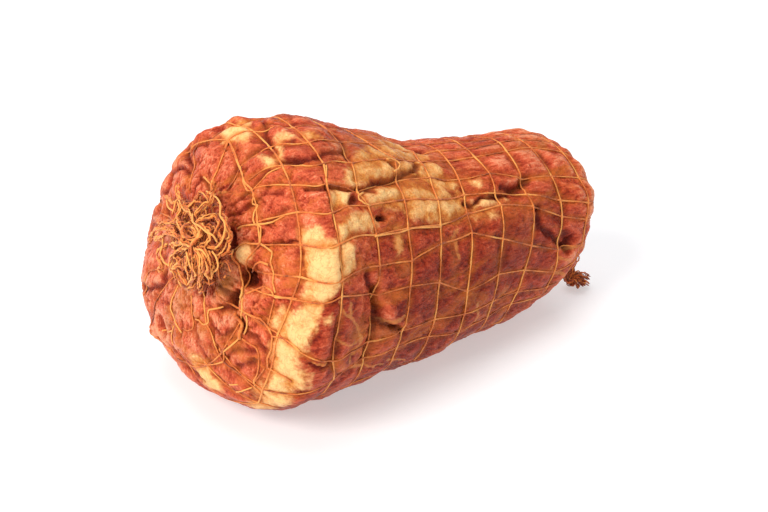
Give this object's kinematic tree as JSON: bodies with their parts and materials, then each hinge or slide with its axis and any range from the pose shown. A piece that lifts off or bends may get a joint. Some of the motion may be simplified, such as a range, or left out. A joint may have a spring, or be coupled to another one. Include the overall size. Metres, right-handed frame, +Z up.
{
  "type": "boston butt",
  "caption": "Smoked, boned and rolled pork shoulder roast in an elastic net, thick at one end and narrower at the other, lying on its side.",
  "frame": {"origin": "middle of the underside of the roast's box, on the surface that it rests on", "axes": "+X along the roast from its thick end to its thin end, +Z up"},
  "size_m": [0.2762, 0.1692, 0.1511],
  "materials": {
    "smoked_pork": "moist satin smoked pork, red-brown lean meat with cream fat",
    "net_cord": "thin twisted elastic net cord, smoked golden tan",
    "net_tuft": "frayed curly net cord, smoked golden tan to brown"
  },
  "bodies": {
    "root": {"pork": "smoked_pork", "netting": "net_cord", "near_tuft": "net_tuft", "far_tuft": "net_tuft"}
  },
  "joints": []
}
